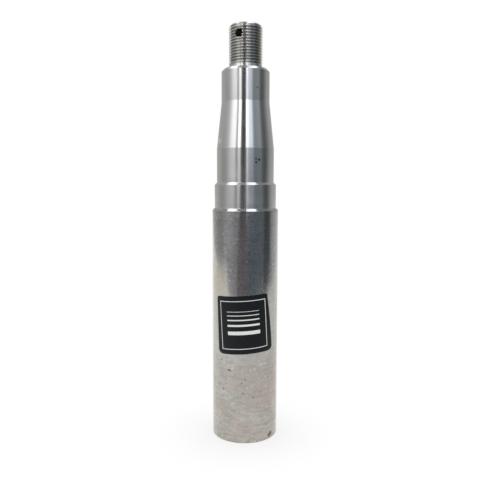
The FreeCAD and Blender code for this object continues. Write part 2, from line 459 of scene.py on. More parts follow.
# %% The label's four corners
LABEL_TURN = math.radians(25.5)
LABEL_FOOT = 61.5 * MM
LABEL_HEIGHT = 38.7 * MM
LABEL_RISE = 2.5 * MM
LABEL_THICKNESS = 0.13 * MM
FOOT_ARCS = (-19.73 * MM, 21.07 * MM)
TOP_ARCS = (-21.65 * MM, 15.75 * MM)


def label_corners(arcs, height):
    """Return the left and right corner of the label at its foot or its top."""
    return [
        Vector((shank_radius * math.sin(arc / shank_radius), height + rise))
        for arc, rise in zip(arcs, (-LABEL_RISE / 2, LABEL_RISE / 2))
    ]


foot_left, foot_right = label_corners(FOOT_ARCS, LABEL_FOOT)
top_left, top_right = label_corners(TOP_ARCS, LABEL_FOOT + LABEL_HEIGHT)
print(f"the label is {(FOOT_ARCS[1] - FOOT_ARCS[0]) / MM:.1f} mm wide at its foot")

# %% The label's outline
SIDE_RADIUS = 400 * MM
SIDE_PARTS = 4
FOOT_CORNER_RADIUS = 2.8 * MM
TOP_CORNER_RADIUS = 1.6 * MM
CORNER_PARTS = 8


def bow(first, last, radius, parts):
    """Return points along a shallow arc from first to last that bulges to the right."""
    half = (last - first) / 2
    sideways = Vector((half.y, -half.x)).normalized()
    centre = first + half - sideways * math.sqrt(radius ** 2 - half.length_squared)
    start = math.atan2(*(first - centre).yx)
    end = math.atan2(*(last - centre).yx)
    return [
        centre + radius * Vector((math.cos(angle), math.sin(angle)))
        for angle in (start + (end - start) * part / parts for part in range(parts + 1))
    ]


def round_corner(before, corner, after, radius):
    """Return the points of a fillet between the two straight lines that meet in a corner."""
    to_before = (before - corner).normalized()
    to_after = (after - corner).normalized()
    half_angle = to_before.angle(to_after) / 2
    bisector = (to_before + to_after).normalized()
    centre = corner + bisector * radius / math.sin(half_angle)
    first = corner + to_before * radius / math.tan(half_angle) - centre
    sweep = math.pi - 2 * half_angle
    return [
        centre + Matrix.Rotation(sweep * part / CORNER_PARTS, 2) @ first
        for part in range(CORNER_PARTS + 1)
    ]


right_side = bow(foot_right, top_right, SIDE_RADIUS, SIDE_PARTS)
label_outline = (
    round_corner(top_left, foot_left, foot_right, FOOT_CORNER_RADIUS)
    + round_corner(foot_left, foot_right, right_side[1], FOOT_CORNER_RADIUS)
    + right_side[1:-1]
    + round_corner(right_side[-2], top_right, top_left, TOP_CORNER_RADIUS)
    + round_corner(top_right, top_left, foot_left, TOP_CORNER_RADIUS)
)
print(f"the label's outline has {len(label_outline)} points")

# %% Trim the label out of a curved wall
FRONT_FACING = 0.02


def cut_film():
    """Cut the label's outer face out of an open cylinder, plane by plane."""
    start_clean()
    bpy.ops.mesh.primitive_cylinder_add(
        vertices=RING_VERTICES, radius=shank_radius + LABEL_THICKNESS, depth=2 * LABEL_HEIGHT,
        end_fill_type="NOTHING", location=(0, 0, LABEL_FOOT + LABEL_HEIGHT / 2),
    )
    film = name_new("label_film")
    bpy.ops.object.mode_set(mode="EDIT")
    front = Vector((math.sin(LABEL_TURN), -math.cos(LABEL_TURN), 0))
    right = Vector((math.cos(LABEL_TURN), math.sin(LABEL_TURN), 0))
    up = Vector((0, 0, 1))
    select_where(film, "FACE", lambda face: face.normal.dot(front) < FRONT_FACING)
    bpy.ops.mesh.delete(type="FACE")
    for point, following in zip(label_outline, label_outline[1:] + label_outline[:1]):
        along = following - point
        bpy.ops.mesh.select_all(action="SELECT")
        bpy.ops.mesh.bisect(
            plane_co=right * point.x + up * point.y,
            plane_no=(right * along.y - up * along.x).normalized(),
            clear_outer=True,
            threshold=MERGE_DISTANCE,
        )
    heal()
    pick(film)
    bpy.ops.object.transform_apply(location=True, rotation=True, scale=True)
    return film


label = cut_film()
apply_modifier(label, "SOLIDIFY", thickness=LABEL_THICKNESS, offset=-1)
shade(label)
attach(label, "root")
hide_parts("label")
print(f"the label has {len(label.data.polygons)} faces")

# %% [markdown]
# ## The camera
#
# The photograph was taken from close by, a little above the middle of the bar, with the camera
# tilted down. The distance and the tilt come from how the bar narrows towards its ends, and the
# turn from where the cross hole faces.

# %% Place the camera
CAMERA_TURN = math.radians(25.5)
CAMERA_DISTANCE = 386.5 * MM
CAMERA_HEIGHT = 171.4 * MM
CAMERA_TILT = math.radians(6.41)
CAMERA_PAN = math.radians(0.49)
CAMERA_ROLL = math.radians(0.21)
FOCAL_LENGTH = 41.01
SENSOR_WIDTH = 36

camera_data = bpy.data.cameras.new("camera")
camera_data.lens = FOCAL_LENGTH
camera_data.sensor_width = SENSOR_WIDTH
camera = bpy.data.objects.new("camera", camera_data)
camera.location = (
    CAMERA_DISTANCE * math.sin(CAMERA_TURN),
    -CAMERA_DISTANCE * math.cos(CAMERA_TURN),
    CAMERA_HEIGHT,
)
aim = Euler((math.radians(90) - CAMERA_TILT, 0, CAMERA_TURN - CAMERA_PAN)).to_matrix()
roll = Euler((0, 0, CAMERA_ROLL)).to_matrix()
camera.rotation_euler = (aim @ roll).to_euler()
bpy.context.collection.objects.link(camera)
bpy.context.scene.camera = camera
print("the camera stands at", tuple(round(value, 4) for value in camera.location))

# %% [markdown]
# ## Sums on sockets
#
# A procedural finish is a picture drawn by sums: a noise here, a mask there, multiplied and
# added. In the node editor that means one Math node for each sum. In Python it is clearer to write
# the sum itself, so a small class wraps a socket and adds the Math node behind each operator.
# Every other node comes from one method that takes its type, its settings and its sockets.

# %% A socket that can be added and multiplied
class Field:
    """One socket of a node tree, with which sums are written as with numbers."""

    def __init__(self, tree, socket=None):
        self.tree = tree
        self.socket = socket

    def node(self, kind, settings, values, output=0):
        """Add any node: its settings first, then the values or links of its sockets."""
        added = self.tree.nodes.new("ShaderNode" + kind)
        for name, value in settings.items():
            if name == "stops":
                place_stops(added.color_ramp, value)
            else:
                setattr(added, name, value)
        for name, value in values.items():
            feed(added, name, value)
        return Field(self.tree, added.outputs[output])

    def calculate(self, operation, first, second):
        """Add a Math node."""
        return self.node("Math", {"operation": operation}, {0: first, 1: second})

    def __add__(self, other):
        return self.calculate("ADD", self, other)

    def __sub__(self, other):
        return self.calculate("SUBTRACT", self, other)

    def __rsub__(self, other):
        return self.calculate("SUBTRACT", other, self)

    def __mul__(self, other):
        return self.calculate("MULTIPLY", self, other)

    __radd__ = __add__
    __rmul__ = __mul__


def feed(node, name, value):
    """Link a field to one of a node's sockets, or give the socket a fixed value."""
    if isinstance(value, Field):
        value.tree.links.new(value.socket, node.inputs[name])
    else:
        node.inputs[name].default_value = value


def solid(color):
    """Return a colour with its alpha. A single number stands for a gray."""
    return (*color, 1) if isinstance(color, tuple) else (color, color, color, 1)


def place_stops(ramp, stops):
    """Give a colour ramp its stops, each a position from 0 to 1 and a colour."""
    while len(ramp.elements) > 1:
        ramp.elements.remove(ramp.elements[0])
    ramp.elements[0].position = stops[0][0]
    ramp.elements[0].color = solid(stops[0][1])
    for position, color in stops[1:]:
        ramp.elements.new(position).color = solid(color)


# %% [markdown]
# The fields used again and again are noise, a soft step from 0 to 1, and a blend of two colours.
# Noise and places are read from Object coordinates, in metres, so a pattern keeps its real size.

# %% Fields that every finish uses


def start_material(name):
    """Add a material, and return it with its shader and its Object coordinates."""
    material = bpy.data.materials.new(name)
    material.use_nodes = True
    shader = material.node_tree.nodes["Principled BSDF"]
    return material, shader, Field(material.node_tree).node("TexCoord", {}, {}, "Object")


def part_of(vector, axis):
    """Return one coordinate of a vector."""
    return vector.node("SeparateXYZ", {}, {0: vector}, axis)


def stretch(vector, scale):
    """Stretch or squeeze a pattern's coordinates along the axes."""
    return vector.node("VectorMath", {"operation": "MULTIPLY"}, {0: vector, 1: scale})


def noise(vector, size, detail=2.0, rough=0.5):
    """Return a noise from 0 to 1 whose blots are about as wide as the given size."""
    return vector.node(
        "TexNoise", {}, {"Vector": vector, "Scale": 1 / size, "Detail": detail, "Roughness": rough}
    )


def lines(height, size, detail=3.0):
    """Return a noise that only changes with height, as the lines of a lathe tool do."""
    return height.node(
        "TexNoise", {"noise_dimensions": "1D"},
        {"W": height, "Scale": 1 / size, "Detail": detail, "Roughness": 0.6},
    )


def step(field, start, end):
    """Rise smoothly from 0 to 1 while a field goes from start to end."""
    return field.node(
        "MapRange", {"interpolation_type": "SMOOTHSTEP"},
        {"Value": field, "From Min": start, "From Max": end},
    )


def blend(amount, first, second):
    """Mix two colours, each of them a field or a fixed colour."""
    first = first if isinstance(first, Field) else solid(first)
    second = second if isinstance(second, Field) else solid(second)
    return amount.node("Mix", {"data_type": "RGBA"}, {0: amount, 6: first, 7: second}, 2)


def largest(first, *others):
    """Return the largest of several fields."""
    for other in others:
        first = first.calculate("MAXIMUM", first, other)
    return first


def length(vector):
    """Return the length of a vector."""
    return vector.node("VectorMath", {"operation": "LENGTH"}, {0: vector}, "Value")


def off_axis(place):
    """Return how far a place lies from the bar's axis."""
    return length(stretch(place, (1, 1, 0)))


def turn_from(vector, front):
    """Return how far a vector is turned round Z from a front, in radians."""
    faced = vector.node(
        "VectorRotate", {"rotation_type": "Z_AXIS"}, {"Vector": vector, "Angle": -front}
    )
    return faced.calculate("ARCTAN2", part_of(faced, "X"), -1 * part_of(faced, "Y"))


def bump(field, rise):
    """Return a normal with bumps that are as high as the rise where the field is 1."""
    return field.node("Bump", {}, {"Strength": 1.0, "Distance": rise, "Height": field})


def draw_out(shader, amount):
    """Make a shader bare metal whose highlights are drawn out along the bar."""
    feed(shader, "Metallic", 1)
    feed(shader, "Anisotropic", amount)
    feed(shader, "Anisotropic Rotation", 0.25)


# %% [markdown]
# ## Marks
#
# A part that has been handled and stored has small marks: dark specks and short bright scratches
# on the shank, a nick at its foot, a few dots on the journals and a scuff on the taper. The larger
# ones have places of their own. Each is given by its turn from the front of the label in degrees,
# and by its height and size in millimetres.

# %% Marks that have a place of their own
dark_specks = [
    (-28.5, 50.0, 1.05),
    (-26.0, 49.7, 0.80),
    (-44.4, 56.2, 0.70),
    (-40.1, 36.4, 0.75),
    (-5.5, 41.5, 0.55),
    (14.8, 31.5, 0.65),
    (43.8, 44.4, 0.55),
    (28.3, 35.0, 0.50),
    (-64.0, 41.5, 0.80),
    (-3.3, 34.8, 0.75),
    (0.5, 44.0, 0.60),
    (-27.0, 125.0, 0.60),
    (-5.9, 116.0, 0.60),
    (10.4, 127.8, 0.60),
]
light_scratches = [
    (-25.2, 116.8, 0.90),
    (-32.1, 114.0, 0.75),
    (-27.2, 109.9, 1.00),
    (3.3, 122.5, 0.80),
    (5.0, 112.0, 0.80),
    (-39.2, 140.5, 0.75),
    (-59.0, 150.5, 0.95),
    (-63.5, 146.5, 0.85),
    (-56.0, 141.0, 0.90),
    (-65.0, 136.5, 0.95),
    (-58.0, 131.5, 0.85),
    (-67.0, 126.0, 0.95),
    (-61.0, 121.5, 0.90),
    (-66.0, 114.5, 0.95),
    (-57.5, 109.5, 0.85),
    (62.0, 131.0, 0.85),
    (55.0, 120.0, 0.80),
    (64.0, 112.0, 0.95),
    (9.0, 50.5, 0.80),
    (17.0, 51.0, 0.90),
    (24.0, 44.5, 0.80),
    (38.0, 45.0, 0.80),
    (-30.0, 52.6, 0.85),
    (-22.0, 51.6, 0.80),
    (29.0, 53.5, 0.95),
    (36.0, 54.0, 0.90),
    (4.0, 38.6, 0.95),
    (12.0, 39.2, 0.95),
    (15.5, 40.3, 0.85),
    (38.0, 38.5, 0.85),
]
edge_nick = [
    (48.2, 3.1, 1.9),
    (52.4, 3.9, 1.9),
]
taper_scuff = [(-65.0, 200.6, 3.0)]
inner_dots = [
    (27.6, 188.2, 1.10),
    (21.0, 188.8, 0.75),
    (21.5, 186.6, 0.85),
]
outer_dots = [(28.4, 234.0, 0.58)]
print(len(dark_specks) + len(light_scratches), "marks on the shank have places of their own")

# %% Spots of colour at those places
SPOT_SOFTNESS = 0.6


def point_on(radius, turn, up):
    """Return the place on a round surface at a turn from the label's front and a height."""
    angle = LABEL_TURN + math.radians(turn)
    return radius * math.sin(angle), -radius * math.cos(angle), up * MM


def spot(vector, centre, size, softness):
    """Return 1 near a place and 0 further off than its size."""
    far = vector.node("VectorMath", {"operation": "DISTANCE"}, {0: vector, 1: centre}, "Value")
    return 1 - step(far, size * (1 - softness), size)


def spots(vector, marks, radius, softness=SPOT_SOFTNESS):
    """Return 1 on marks of a round surface and 0 off them."""
    return largest(*(
        spot(vector, point_on(radius, turn, up), size * MM, softness) for turn, up, size in marks
    ))


# %% [markdown]
# ## Bright turned steel
#
# The seal and bearing journals and the taper between them are turned and then polished. They
# mirror the room, drawn out along the bar: the polishing lines run round it, and light spreads
# across them but not along them. That is anisotropy. Cycles stretches a highlight round the Z axis
# by default, so a quarter turn makes it run along the bar. Fine lines in the roughness and the
# bump carry the tool's feed, about a tenth of a millimetre for each turn.

# %% Bright steel for the journals
STEEL_COLOR = (0.594, 0.600, 0.594)
STEEL_SHADE = (0.515, 0.520, 0.514)
SCUFF_COLOR = (0.92, 0.91, 0.88)
DOT_COLOR = (0.02, 0.018, 0.016)
FEED = 0.12 * MM
FEED_HEIGHT = 0.0004 * MM

bright_steel, shader, place = start_material("turned_steel")
height = part_of(place, "Z")
broad_lines = lines(height, 1.6 * MM)
fine_lines = lines(height, FEED)
smudges = noise(place, 14 * MM, 3)
steel = blend(0.6 * broad_lines + 0.4 * smudges, STEEL_SHADE, STEEL_COLOR)
dots = largest(spots(place, inner_dots, inner_radius), spots(place, outer_dots, outer_radius))
scuff = spots(place, taper_scuff, inner_radius, softness=1)
steel = blend(0.8 * scuff, steel, SCUFF_COLOR)
feed(shader, "Base Color", blend(0.95 * dots, steel, DOT_COLOR))
rough = 0.17 + 0.05 * fine_lines + 0.06 * step(smudges, 0.45, 0.75) + 0.25 * scuff
feed(shader, "Roughness", rough)
feed(shader, "Normal", bump(fine_lines, FEED_HEIGHT))
draw_out(shader, 0.75)
print("the journals' feed lines are", round(FEED / MM, 2), "mm apart")

# %% [markdown]
# ## The duller shank
#
# The shank is left as the drawn bar came. It is the same steel, but mottled by a fine pitted grain
# and by broken bands that run round it, with faint streaks along its length, short bright
# scratches round it, and most of the marks. Below the label it has been handled and is stained a
# warm gray, with a darker warm patch on its right that is partly a stain and partly a painted dark
# reflection. Beside the label it is a little yellow, and its foot has begun to rust.
#
# One noise can't do all this, so each pattern is a noise of its own size, some drawn out along the
# bar or round it. The patterns come first, each from 0 to 1. Then the colours are laid over each
# other like glazes, and the same patterns shape the gloss and the bumps.

# %% The shank's patterns
CONTRAST = (0.34, 0.66)
SOFT_CONTRAST = (0.3, 0.7)
FLECK_EDGE = (0.64, 0.74)
HANDLED_FADE = (66 * MM, 46 * MM)

drawn_steel, shader, place = start_material("drawn_steel")
height = part_of(place, "Z")
below = step(height, *HANDLED_FADE)
wander = noise(place, 2.2 * MM, 3)
grain = noise(stretch(place, (0.8, 0.8, 1)), 1.3 * MM, 3, 0.6)
bands = noise(stretch(place, (0.5, 0.5, 1.4)), 2.6 * MM, 3, 0.6)
rows = lines(height, 2.2 * MM, 2)
clear_grain = step(grain, *CONTRAST)
clear_bands = step(bands, *CONTRAST)
clear_rows = step(rows, *SOFT_CONTRAST)
patches = step(noise(place, 9 * MM, 4, 0.6), *SOFT_CONTRAST)
streaks = step(noise(stretch(place, (1, 1, 0.06)), 2.4 * MM, 3), *SOFT_CONTRAST)
stains = step(noise(stretch(place, (1, 1, 1.6)), 19 * MM, 2), 0.44, 0.66)
glints = step(noise(place, 1.2 * MM, 2), *FLECK_EDGE)
dashes = step(noise(stretch(place, (0.35, 0.35, 1.6)), 1.1 * MM, 2), *FLECK_EDGE)
flecks = largest(glints, dashes) * (0.35 + 0.65 * step(rows, 0.42, 0.58))
print("the shank is handled from", round(HANDLED_FADE[0] / MM), "mm downwards")

# %% The shank's marks
RUST_FADE = (2.6 * MM, 0.2 * MM)
yellow_stain = [(-52, 108, 15)]
# A warm, darker patch on the lower right: partly a stain, partly a painted dark reflection.
stain_and_dark_reflection = [(38, 42, 30)]

pits = step(noise(place, 1.7 * MM, 3), 0.68, 0.78)
dark_marks = largest(spots(place, dark_specks, shank_radius), 0.7 * pits)
light_marks = largest(flecks, spots(place, light_scratches, shank_radius))
nick = spots(place, edge_nick, shank_radius)
yellow = spots(place, yellow_stain, shank_radius, softness=1)
stain_and_reflection_patch = spots(place, stain_and_dark_reflection, shank_radius, softness=1)
stain_and_reflection_patch = stain_and_reflection_patch * (0.35 + 0.65 * step(bands, 0.4, 0.62))
edge_rust = step(height, *RUST_FADE) * step(wander, 0.45, 0.62)
print("its rust reaches", round(RUST_FADE[0] / MM, 1), "mm up from the weld end")

# %% The shank's colours, laid over each other
SHANK_COLOR = (0.524, 0.528, 0.529)
SHANK_SHADE = (0.338, 0.342, 0.344)
HANDLED_COLOR = (0.528, 0.520, 0.505)
HANDLED_SHADE = (0.288, 0.282, 0.270)
FLECK_COLOR = (0.66, 0.66, 0.65)
STAIN_AND_DARK_REFLECTION_COLOR = (0.405, 0.350, 0.315)
YELLOW_COLOR = (0.45, 0.41, 0.28)
RUST_COLOR = (0.24, 0.165, 0.10)
SPECK_COLOR = (0.12, 0.092, 0.063)
NICK_COLOR = (0.11, 0.088, 0.055)

shared_mottle = 0.28 * patches + 0.12 * clear_rows
mottle = shared_mottle + 0.30 * clear_grain + 0.20 * clear_bands + 0.10 * streaks
lower_mottle = shared_mottle + 0.24 * clear_grain + 0.36 * clear_bands
upper_steel = blend(mottle, SHANK_SHADE, SHANK_COLOR)
lower_steel = blend(lower_mottle, HANDLED_SHADE, HANDLED_COLOR)
steel = blend(below, upper_steel, lower_steel)
layers = [
    (0.8 * light_marks, FLECK_COLOR),
    (stains * (0.10 + 0.25 * below), STAIN_AND_DARK_REFLECTION_COLOR),
    (0.5 * yellow, YELLOW_COLOR),
    # The warm patch is partly a stain and partly a painted dark reflection.
    (0.55 * stain_and_reflection_patch, STAIN_AND_DARK_REFLECTION_COLOR),
    (0.75 * edge_rust, RUST_COLOR),
    (0.85 * dark_marks, SPECK_COLOR),
    (0.9 * nick, NICK_COLOR),
]
for amount, color in layers:
    steel = blend(amount, steel, color)
feed(shader, "Base Color", steel)
print(len(layers), "layers lie over the shank's bare steel")

# %% The shank's gloss and bumps
DENT_HEIGHT = 0.001 * MM

feed(shader, "Roughness", 0.115 + 0.04 * clear_grain + 0.2 * dark_marks)
dents = 0.4 * grain + 0.6 * wander - 4 * nick
feed(shader, "Normal", bump(dents, DENT_HEIGHT))
draw_out(shader, 0.6)
print("its dents are about", DENT_HEIGHT / MM, "mm deep")

# %% [markdown]
# ## The threaded end
#
# Die-cut threads are rougher than the journals, and hold a little cutting oil, which makes the
# steel look darker and slightly yellow. The roots between the ridges are painted much darker, as
# the shade that falls into them; a mask on the distance from the axis tells them from the crests
# and the end's chamfer. The drilled holes are darker still, because little light finds its way
# out.

# %% Darker steel for the thread, with painted shade in its roots
CLEAN_COLOR = (0.605, 0.605, 0.585)
OILY_COLOR = (0.545, 0.545, 0.525)
PAINTED_ROOT_SHADE = (0.285, 0.28, 0.265)

thread_steel, shader, place = start_material("thread_steel")
chamfer_foot = thread_end - end_chamfer
chamfer = step(part_of(place, "Z"), chamfer_foot - 0.3 * MM, chamfer_foot)
crest = largest(step(off_axis(place), root_radius, thread_radius - 0.1 * MM), chamfer)
crest_steel = blend(noise(place, 3 * MM, 3), OILY_COLOR, CLEAN_COLOR)
# The roots get a painted shade colour for the darkness between the ridges; crests and chamfer keep
# the steel.
feed(shader, "Base Color", blend(crest, PAINTED_ROOT_SHADE, crest_steel))
feed(shader, "Roughness", 0.18 + 0.06 * noise(place, 1.2 * MM, 2) + 0.06 * (1 - crest))
feed(shader, "Metallic", 1)
print(f"the thread is {thread_depth / MM:.2f} mm deep")

# %% Dark steel for the drilled holes
DEEP_COLOR = (0.035, 0.033, 0.03)
DEEP_LIGHT = (0.06, 0.057, 0.05)
MOUTH_COLOR = (0.16, 0.157, 0.15)

hole_steel, shader, place = start_material("hole_steel")
mouth = step(off_axis(place), root_radius - 0.6 * MM, thread_radius - 0.2 * MM)
deep_steel = blend(noise(place, 1.5 * MM, 3), DEEP_COLOR, DEEP_LIGHT)
feed(shader, "Base Color", blend(mouth, deep_steel, MOUTH_COLOR))
feed(shader, "Roughness", 0.45 + 0.1 * noise(place, 0.6 * MM, 2))
feed(shader, "Metallic", 0.6)
print(f"the cross hole is {2 * cross_hole_radius / MM:.2f} mm wide")

# %% [markdown]
# ## Put the steels on the bar
#
# The bar is one mesh, so each stretch gets its steel by material slots, as in edit mode: faces are
# selected by place and the slot is assigned to them. The whole bar starts as drawn steel, and what
# is above the shank, then above the shoulder, then inside the holes is assigned anew.

# %% Give each stretch of the bar its steel
CENTRE_REACH = 6 * MM


def assign(piece, slot, test):
    """Give the faces that pass the test the material in that slot, and return their number."""
    piece.active_material_index = slot
    count = select_where(piece, "FACE", test)
    bpy.ops.object.material_slot_assign()
    return count


def above(height):
    """Return a test for faces above a height."""
    return lambda face: face.calc_center_median().z > height


def is_hole_wall(face):
    """Say whether a face belongs to the cross hole's wall or the lathe centre's."""
    middle = face.calc_center_median()
    out = middle.xy.length
    across = math.hypot(middle.x, middle.z - cross_hole_height)
    round_cross_hole = abs(across - cross_hole_radius) < 0.02 * MM and abs(face.normal.y) < 0.1
    in_cross_hole = round_cross_hole and out < thread_radius + 0.01 * MM
    in_centre = out < centre_mouth - 0.1 * MM and middle.z > thread_end - CENTRE_REACH
    return in_cross_hole or in_centre


for steel in (drawn_steel, bright_steel, thread_steel, hole_steel):
    spindle.data.materials.append(steel)
edit(spindle)
bright_faces = assign(spindle, 1, above((shank_end + seal_start) / 2))
thread_faces = assign(spindle, 2, above(shoulder))
hole_faces = assign(spindle, 3, is_hole_wall)
start_clean()
print(bright_faces - thread_faces, "bright faces,", thread_faces, "at the threaded end")
print(hole_faces, "faces line its holes")

# %% [markdown]
# ## The label's print
#
# The label is a satin black film. Its print is a plain one made for this lesson: a thin keyline
# round the edge, and a stack of rules that grow from thin to thick. Both are drawn with
# masks on two lengths, across and up the label, measured round the shank from the label's middle
# and turned by its small tilt, the rise of its corners over a width of about 36 mm.

# %% Lengths across and up the label
LABEL_MIDDLE = -1.0 * MM
TILT_WIDTH = 36 * MM
PRINT_TILT = math.atan2(LABEL_RISE, TILT_WIDTH)

label_film, shader, place = start_material("label_film")
across = turn_from(place, LABEL_TURN) * shank_radius - LABEL_MIDDLE
up = part_of(place, "Z") - (LABEL_FOOT + LABEL_HEIGHT / 2)
tilted_across = across * math.cos(PRINT_TILT) + up * math.sin(PRINT_TILT)
tilted_up = up * math.cos(PRINT_TILT) - across * math.sin(PRINT_TILT)
print(f"the print is tilted by {math.degrees(PRINT_TILT):.1f} degrees")

# %% White rules and a keyline
INK_EDGE = 0.04 * MM
RULE_LENGTH = 22 * MM
KEYLINE_INSET = 3.2 * MM
KEYLINE_WIDTH = 0.45 * MM
KEYLINE_WIDE = 32.4 * MM
KEYLINE_HIGH = LABEL_HEIGHT - 2 * KEYLINE_INSET


def strip(field, centre, width):
    """Return 1 where a field is within half the width of the centre."""
    off = field.node("Math", {"operation": "ABSOLUTE"}, {0: field - centre})
    return 1 - step(off, width / 2 - INK_EDGE, width / 2 + INK_EDGE)


def box(up, wide, high):
    """Return 1 inside a box that stands at a height above the label's middle."""
    return strip(tilted_up, up, high) * strip(tilted_across, 0, wide)


rules = [
    (9.0, 0.3),
    (6.4, 0.5),
    (3.4, 0.8),
    (-0.2, 1.3),
    (-5.2, 2.4),
]
keyline = box(0, KEYLINE_WIDE, KEYLINE_HIGH) - box(
    0, KEYLINE_WIDE - 2 * KEYLINE_WIDTH, KEYLINE_HIGH - 2 * KEYLINE_WIDTH
)
ink = largest(keyline, *(box(up * MM, RULE_LENGTH, width * MM) for up, width in rules))
print("the print has", len(rules), "rules and a keyline")

# %% Black film
FILM_COLOR = (0.0034, 0.0058, 0.0082)
WORN_FILM_COLOR = (0.0062, 0.0090, 0.0118)
INK_COLOR = (0.80, 0.80, 0.78)

film_wear = noise(place, 2.5 * MM, 4)
film_color = blend(film_wear, FILM_COLOR, WORN_FILM_COLOR)
feed(shader, "Base Color", blend(ink, film_color, INK_COLOR))
feed(shader, "Roughness", 0.36 + 0.12 * film_wear)
feed(shader, "Specular IOR Level", 0.2)
label.data.materials.append(label_film)
print("the label wears", label_film.name)

# %% [markdown]
# ## What the steel mirrors
#
# Bare metal has no look of its own: it shows the room. A product studio therefore builds a room
# for it, with white cards, dark gaps and soft windows, placed so that their images draw the
# shape. Cards could be modelled as planes, but a world that depends on the direction does the
# same without noise. The camera sees plain white instead, and diffuse light nearly as much.
#
# The room is a ring of walls by their turn from the camera, right positive, another for what
# stands below the horizon, and a ring of windows and light strips that grow brighter upwards. The
# flanks of the thread send the eye up twice, to the upper walls under the ceiling, so those have
# a ring of their own. Each line below is a turn in degrees and the colour there, or one number
# for a gray, chosen like cards in a studio.

# %% The walls round the bar
WALLS = [
    (-180, (0.53, 0.53, 0.52)),
    (-118, (0.53, 0.53, 0.51)),
    (-105, (0.36, 0.37, 0.36)),
    (-85, (0.36, 0.36, 0.35)),
    (-70, 0.50),
    (-48, (0.50, 0.50, 0.51)),
    (-38, (0.34, 0.34, 0.35)),
    (-32, (0.30, 0.30, 0.31)),
    (-28, (0.40, 0.40, 0.39)),
    (-23, (0.40, 0.40, 0.39)),
    (-18, (0.07, 0.065, 0.072)),
    (-2, (0.08, 0.066, 0.072)),
    (2, (0.14, 0.14, 0.155)),
    (16, (0.12, 0.14, 0.165)),
    (34, (0.145, 0.165, 0.19)),
    (62, (0.17, 0.19, 0.20)),
    (74, (0.085, 0.095, 0.10)),
    (90, (0.09, 0.10, 0.105)),
    (104, 0.25),
    (120, (0.46, 0.455, 0.44)),
    (180, (0.53, 0.53, 0.52)),
]
print("the room has", len(WALLS), "stretches of wall")

# %% The windows and light strips
WINDOWS = [
    (-125, 0),
    (-105, 0.05),
    (-88, 0.08),
    (-75, 0.11),
    (-68, 0.18),
    (-61, 0.30),
    (-46, 0.38),
    (-41, 0.36),
    (-38, 0.05),
    (-33, 0.05),
    (-29, (0.57, 0.57, 0.56)),
    (-24, (0.57, 0.57, 0.56)),
    (-21, (0.65, 0.65, 0.64)),
    (-18, 0),
    (2, 0),
    (5, (0.79, 0.80, 0.82)),
    (9, (0.77, 0.79, 0.82)),
    (13, (0.32, 0.335, 0.38)),
    (21, (0.31, 0.325, 0.355)),
    (29, (0.28, 0.29, 0.31)),
    (34, (0.09, 0.10, 0.11)),
    (40, (0.045, 0.05, 0.055)),
    (66, (0.07, 0.075, 0.08)),
    (78, 0.02),
    (110, 0),
]
print("it has", len(WINDOWS), "window edges")

# %% What stands below the horizon
LOWER_WALLS = [
    (-180, (0.95, 0.95, 0.92)),
    (-150, (0.80, 0.80, 0.77)),
    (-128, (0.52, 0.52, 0.50)),
    (-105, (0.38, 0.38, 0.37)),
    (-88, (0.35, 0.35, 0.345)),
    (-74, (0.45, 0.45, 0.46)),
    (-54, (0.45, 0.45, 0.46)),
    (-40, (0.37, 0.37, 0.39)),
    (-31, (0.36, 0.36, 0.37)),
    (-26, (0.205, 0.193, 0.20)),
    (5, (0.19, 0.178, 0.185)),
    (8, (0.137, 0.16, 0.193)),
    (16, (0.13, 0.157, 0.19)),
    (50, (0.15, 0.172, 0.188)),
    (64, (0.158, 0.175, 0.19)),
    (72, (0.08, 0.094, 0.107)),
    (91, (0.097, 0.112, 0.123)),
    (98, (0.31, 0.315, 0.32)),
    (112, (0.56, 0.56, 0.55)),
    (150, (0.85, 0.85, 0.84)),
    (180, (0.95, 0.95, 0.92)),
]
print("below the horizon it has", len(LOWER_WALLS), "stretches")

# %% The upper walls, under the ceiling
UPPER_WALLS = [
    (-180, 0.10),
    (-174, 0.12),
    (-167, (0.80, 0.79, 0.77)),
    (-150, (0.60, 0.60, 0.58)),
    (-120, 0.40),
    (-88, (0.60, 0.59, 0.57)),
    (-78, (2.00, 1.95, 1.85)),
    (-62, (2.00, 1.95, 1.85)),
    (-50, (0.80, 0.79, 0.77)),
    (-24, (0.80, 0.79, 0.77)),
    (-15, (0.05, 0.05, 0.06)),
    (13, (0.05, 0.05, 0.06)),
    (18, 1.60),
    (38, 1.40),
    (50, 0.60),
    (80, 0.32),
    (150, 0.30),
    (167, 0.75),
    (174, 0.12),
    (180, 0.10),
]
print("under the ceiling it has", len(UPPER_WALLS), "stretches")

# %% Join the rings into a room
LOWER_WALL_TOP = (-0.048, -0.024)
UPPER_WALL_FOOT = (0.60, 0.72)
CEILING_EDGE = (0.90, 0.95)
CEILING_COLOR = 0.45
WINDOW_STRENGTH = 5.2
BRIGHTENING = [
    (-1.0, 0.0),
    (0.5, 0.13),
    (1.5, 0.20),
    (6.5, 0.25),
    (9.7, 0.41),
    (17.8, 0.88),
    (48.0, 1.0),
]


def read_ring(ring):
    """Return the colour of a ring of walls in the direction that is looked at."""
    stops = [((turn + 180) / 360, color) for turn, color in ring]
    return position.node("ValToRGB", {"stops": stops}, {0: position})


